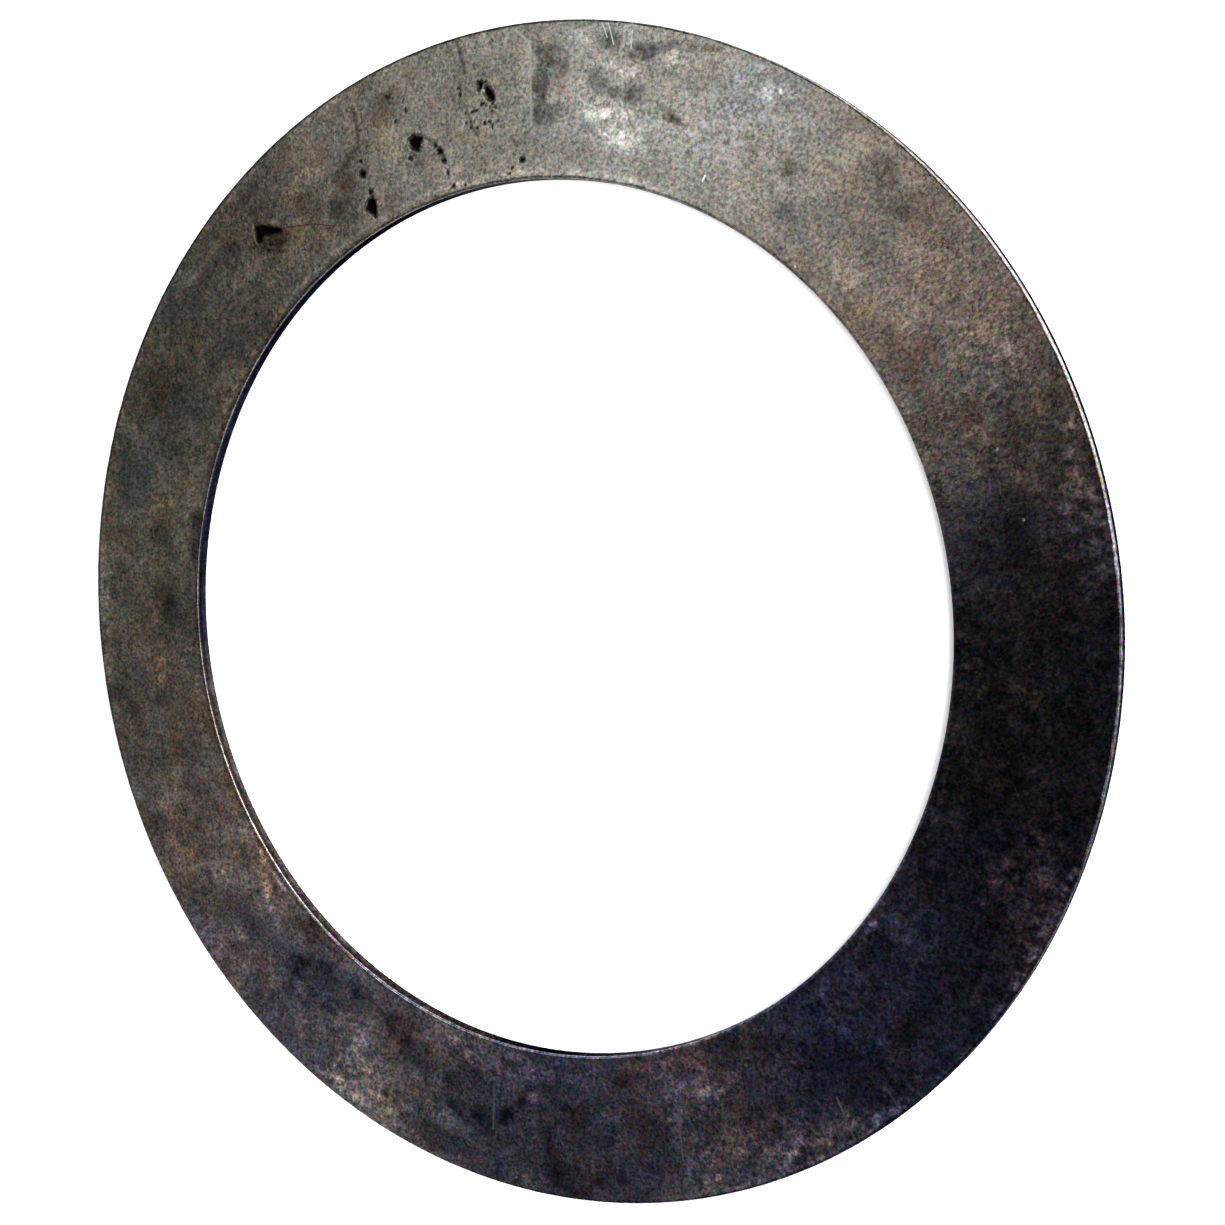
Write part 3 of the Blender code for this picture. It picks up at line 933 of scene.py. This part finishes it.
class Nodes:
    """A short way to write a node tree."""

    def __init__(self, tree):
        self.tree = tree

    def add(self, kind, inputs=None, **settings):
        node = self.tree.nodes.new(kind)
        for name, value in settings.items():
            setattr(node, name, value)
        for key, value in (inputs or {}).items():
            if isinstance(value, bpy.types.NodeSocket):
                self.tree.links.new(value, node.inputs[key])
            else:
                node.inputs[key].default_value = value
        return node

    def math(self, operation, first, second):
        return self.add("ShaderNodeMath", {0: first, 1: second}, operation=operation).outputs[0]

    def vector(self, operation, first, second):
        return self.add("ShaderNodeVectorMath", {0: first, 1: second}, operation=operation).outputs[0]

    def noise(self, vector, scale, detail, rough):
        return self.add("ShaderNodeTexNoise",
                        {"Vector": vector, "Scale": scale, "Detail": detail, "Roughness": rough})

    def spread(self, value, low, high, to_low=0.0, to_high=1.0):
        node = self.add("ShaderNodeMapRange", {0: value, 1: low, 2: high, 3: to_low, 4: to_high})
        node.clamp = True
        return node.outputs[0]

    def mix(self, factor, first, second, blend="MIX"):
        node = self.add("ShaderNodeMix", data_type="RGBA", blend_type=blend)
        for socket, value in ((node.inputs[0], factor), (node.inputs[6], first), (node.inputs[7], second)):
            if isinstance(value, bpy.types.NodeSocket):
                self.tree.links.new(value, socket)
            else:
                socket.default_value = value
        return node.outputs[2]


def polar(angle, radius, height):
    """A place in millimetres from its angle and radius."""
    turn = math.radians(angle)
    return (radius * math.cos(turn), radius * math.sin(turn), height)


def line_mask(nodes, mm, first, last, half):
    """1 on a short line between two places, falling to 0 at its edge."""
    start = Vector(polar(*first, THICK))
    along = Vector(polar(*last, THICK)) - start
    offset = nodes.vector("SUBTRACT", mm, start)
    part = nodes.add("ShaderNodeVectorMath", {0: offset, 1: along / along.length_squared},
                     operation="DOT_PRODUCT").outputs["Value"]
    part = nodes.math("MINIMUM", nodes.math("MAXIMUM", part, 0.0), 1.0)
    nearest = nodes.add("ShaderNodeVectorMath", {0: along, 3: part}, operation="SCALE").outputs[0]
    gap = nodes.add("ShaderNodeVectorMath", {0: offset, 1: nearest}, operation="DISTANCE").outputs["Value"]
    return nodes.spread(gap, half * 0.4, half * 1.3, 1.0, 0.0)


# The dark colour put into the pits and cracks.
DARK_FILL = (0.0035, 0.0022, 0.0016, 1)
# Scale is duller than clean metal at a glancing angle.
GLANCING_TINT = (0.22, 0.22, 0.27, 1)
# Height in metres of the finest grain.
GRAIN_HEIGHT = 0.000022


def steel_skin():
    """The ring's one material, from its attributes and from noise. Its colour carries the painted light and
    shade held in the attributes.
    """
    material = bpy.data.materials.new("worn_dark_steel_with_painted_light")
    material.use_nodes = True
    tree = material.node_tree
    nodes = Nodes(tree)
    shader = tree.nodes["Principled BSDF"]
    place = nodes.add("ShaderNodeTexCoord").outputs["Object"]
    mm = nodes.vector("MULTIPLY", place, (1000, 1000, 1000))
    skin_colour = nodes.add("ShaderNodeAttribute", attribute_name="skin").outputs["Color"]
    stain_and_light_colour = nodes.add("ShaderNodeAttribute", attribute_name="stain_and_painted_light").outputs["Color"]
    darkening = nodes.add("ShaderNodeAttribute", attribute_name="darkening").outputs["Fac"]
    tinting_here = nodes.add("ShaderNodeAttribute", attribute_name="tinting").outputs["Fac"]

    grain = nodes.noise(mm, 3.6, 3.0, 0.65).outputs["Fac"]
    tint = nodes.noise(mm, 2.2, 3.0, 0.62).outputs["Color"]
    mottle = nodes.noise(mm, 1.1, 4.0, 0.65).outputs["Fac"]

    # Stains, with the painted shade and highlight that the patches and rim bands carry, break up into
    # flecks.
    flecks = nodes.spread(mottle, 0.36, 0.64, 0.25, 1.75)
    broken = nodes.add("ShaderNodeGamma", {"Color": stain_and_light_colour, "Gamma": flecks}).outputs[0]
    colour = nodes.mix(1.0, skin_colour, broken, "MULTIPLY")
    light = nodes.spread(grain, 0.34, 0.66, 0.45, 1.65)
    patch = nodes.spread(mottle, 0.30, 0.70, 0.75, 1.25)
    strength = nodes.math("MULTIPLY", light, patch)
    contrast = nodes.spread(tinting_here, 0.0, 1.0, 0.85, 1.35)
    strength = nodes.math("POWER", strength, contrast)
    grey = nodes.add("ShaderNodeCombineColor", {0: strength, 1: strength, 2: strength}).outputs[0]
    colour = nodes.mix(1.0, colour, grey, "MULTIPLY")
    # Specks of rust and blue scale.
    vivid = nodes.add("ShaderNodeVectorMath", {0: tint, 1: (3.4, 3.4, 3.4), 2: (-0.7, -0.7, -0.7)},
                      operation="MULTIPLY_ADD").outputs[0]
    vivid = nodes.vector("MAXIMUM", vivid, (0.15, 0.15, 0.15))
    specks = nodes.mix(tinting_here, (1.0, 1.0, 1.0, 1), vivid)
    colour = nodes.mix(1.0, colour, specks, "MULTIPLY")
    for first, last, half, metal in LINES:
        colour = nodes.mix(line_mask(nodes, mm, first, last, half), colour, metal + (1,))
    colour = nodes.mix(darkening, colour, DARK_FILL)
    tree.links.new(colour, shader.inputs["Base Color"])

    shader.inputs["Metallic"].default_value = 1.0
    shader.inputs["Specular Tint"].default_value = GLANCING_TINT
    gloss = nodes.spread(mottle, 0.3, 0.7, 0.24, 0.32)
    gloss = nodes.math("ADD", gloss, nodes.math("MULTIPLY", darkening, 0.40))
    tree.links.new(gloss, shader.inputs["Roughness"])

    fine = nodes.noise(mm, 2.2, 3.0, 0.6).outputs["Fac"]
    bump = nodes.add("ShaderNodeBump", {"Height": fine, "Strength": 1.0, "Distance": GRAIN_HEIGHT})
    tree.links.new(bump.outputs["Normal"], shader.inputs["Normal"])
    return material


# ---------------------------------------------------------------- stage, light and camera

# Metres from the washer to the floor's edge.
FLOOR_HALF = 6.0
# The floor glows faintly, as one lit from all round does: the glow near the washer, the glow far away,
# and the distances in metres between which it rises.
FLOOR_GLOW = (0.30, 0.80)
FLOOR_GLOW_REACH = (0.15, 0.9)


def make_floor():
    size = FLOOR_HALF
    mesh = bpy.data.meshes.new("floor")
    corners = [(-size, -size, 0), (size, -size, 0), (size, size, 0), (-size, size, 0)]
    mesh.from_pydata(corners, [], [(0, 1, 2, 3)])
    floor = bpy.data.objects.new("floor", mesh)
    bpy.context.scene.collection.objects.link(floor)
    material = bpy.data.materials.new("pale_floor")
    material.use_nodes = True
    nodes = Nodes(material.node_tree)
    shader = material.node_tree.nodes["Principled BSDF"]
    shader.inputs["Base Color"].default_value = (0.90, 0.90, 0.90, 1)
    shader.inputs["Roughness"].default_value = 0.9
    shader.inputs["Specular IOR Level"].default_value = 0.1
    shader.inputs["Emission Color"].default_value = (1, 1, 1, 1)
    place = nodes.add("ShaderNodeTexCoord").outputs["Object"]
    away = nodes.add("ShaderNodeVectorMath", {0: place}, operation="LENGTH").outputs["Value"]
    glow = nodes.spread(away, *FLOOR_GLOW_REACH, *FLOOR_GLOW)
    material.node_tree.links.new(glow, shader.inputs["Emission Strength"])
    mesh.materials.append(material)
    return floor


def direction(azimuth, elevation):
    """A unit vector from the washer, from angles in degrees."""
    a = math.radians(azimuth)
    e = math.radians(elevation)
    return Vector((math.cos(e) * math.cos(a), math.cos(e) * math.sin(a), math.sin(e)))


# Soft lights: name, azimuth and elevation in degrees, width and height in metres, and radiance, which is
# what a mirror would show of the light.
LIGHTS = (
    ("key", 147, 61, 0.30, 0.24, 2.7),
    ("side", 205, 42, 0.50, 0.34, 0.55),
    ("kicker", 43, 25, 0.50, 0.42, 5.0),
    ("fill", 4, 42, 0.6, 0.4, 10.0),
)
LIGHT_DISTANCE = 0.6


def soft_light(name, azimuth, elevation, width, height, radiance):
    """A rectangular light that faces the washer and that the camera doesn't see."""
    data = bpy.data.lights.new(name, "AREA")
    data.shape = "RECTANGLE"
    data.size = width
    data.size_y = height
    data.energy = radiance * math.pi * width * height
    light = bpy.data.objects.new(name, data)
    bpy.context.scene.collection.objects.link(light)
    towards = direction(azimuth, elevation)
    light.location = towards * LIGHT_DISTANCE
    light.rotation_euler = towards.to_track_quat("Z", "Y").to_euler()
    light.visible_camera = False


# Sines of the elevations between which the glow round the horizon fades into the ceiling, and both
# colours.
HORIZON_TOP = (0.32, 0.62)
HORIZON_GLOW = (0.75, 0.78, 0.84, 1)
CEILING_GLOW = (0.011, 0.013, 0.020, 1)


def make_world():
    world = bpy.data.worlds.new("studio")
    bpy.context.scene.world = world
    world.use_nodes = True
    tree = world.node_tree
    nodes = Nodes(tree)
    back = tree.nodes["Background"]
    # Reflections see a pale glow low down all round, under a dim blue ceiling. The camera sees pale grey.
    upward = nodes.add("ShaderNodeSeparateXYZ", {0: nodes.add("ShaderNodeTexCoord").outputs["Generated"]})
    high = nodes.spread(upward.outputs["Z"], *HORIZON_TOP)
    glow = nodes.mix(high, HORIZON_GLOW, CEILING_GLOW)
    tree.links.new(glow, back.inputs["Color"])
    seen = nodes.add("ShaderNodeBackground", {"Color": (1, 1, 1, 1), "Strength": 0.95})
    path = nodes.add("ShaderNodeLightPath")
    mix = nodes.add("ShaderNodeMixShader")
    tree.links.new(path.outputs["Is Camera Ray"], mix.inputs[0])
    tree.links.new(back.outputs[0], mix.inputs[1])
    tree.links.new(seen.outputs[0], mix.inputs[2])
    tree.links.new(mix.outputs[0], tree.nodes["World Output"].inputs["Surface"])


# Where the camera stands and what it looks at, in metres, and its lens in millimetres.
CAMERA_PLACE = (0.0887, 0.0185, 0.1443)
CAMERA_AIM = (0.00783, 0.0015, 0.0012)
CAMERA_LENS = 57.36
SENSOR_WIDTH = 36.0
CLIPPING = (0.001, 20.0)


def make_camera():
    data = bpy.data.cameras.new("camera")
    camera = bpy.data.objects.new("camera", data)
    bpy.context.scene.collection.objects.link(camera)
    bpy.context.scene.camera = camera
    place = Vector(CAMERA_PLACE)
    aim = Vector(CAMERA_AIM)
    forward = (aim - place).normalized()
    right = forward.cross(Vector((0, 1, 0))).normalized()
    up = right.cross(forward)
    camera.matrix_world = Matrix.Translation(place) @ Matrix((right, up, -forward)).transposed().to_4x4()
    data.sensor_width = SENSOR_WIDTH
    data.lens = CAMERA_LENS
    data.clip_start, data.clip_end = CLIPPING


ring = make_ring()
ring.data.materials.append(steel_skin())
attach(ring, "root")
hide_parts(WASHER)
make_floor()

make_camera()
make_world()
for light in LIGHTS:
    soft_light(*light)
bpy.context.scene.view_settings.view_transform = "Standard"
